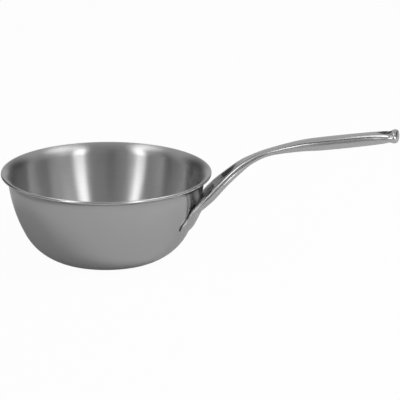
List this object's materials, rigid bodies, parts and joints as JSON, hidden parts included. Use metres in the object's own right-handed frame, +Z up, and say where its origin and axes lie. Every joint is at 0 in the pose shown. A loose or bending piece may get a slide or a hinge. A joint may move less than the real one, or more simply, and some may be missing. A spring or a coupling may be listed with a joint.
{
  "type": "saucier pan",
  "caption": "Round-bottomed clad steel saucier with a flared pouring rim and one long welded cast handle with a hanging hole, for sauces and stirring on a hob",
  "frame": {"origin": "centre of the flat underside of the base", "axes": "+Z up, along the bowl's axis; +X along the handle, away from the bowl; the pan is the same on both sides of the XZ plane"},
  "size_m": [0.4111, 0.2176, 0.1449],
  "materials": {
    "outside_steel": "satin polished stainless steel, faint marks round the pan's axis",
    "inside_steel": "stainless steel brushed round the pan's axis",
    "handle_steel": "polished cast stainless steel",
    "weld_steel": "bare resistance weld, dull steel",
    "bond_aluminium": "aluminium alloy sheet, bare only at the rim's edge",
    "core_aluminium": "pure aluminium sheet, bare only at the rim's edge"
  },
  "bodies": {
    "root": {"outer_ply": "outside_steel", "outer_bond_ply": "bond_aluminium", "core_ply": "core_aluminium", "inner_bond_ply": "bond_aluminium", "cooking_ply": "inside_steel", "handle": "handle_steel", "weld_near_low": "weld_steel", "weld_near_high": "weld_steel", "weld_far_low": "weld_steel", "weld_far_high": "weld_steel"}
  },
  "joints": []
}
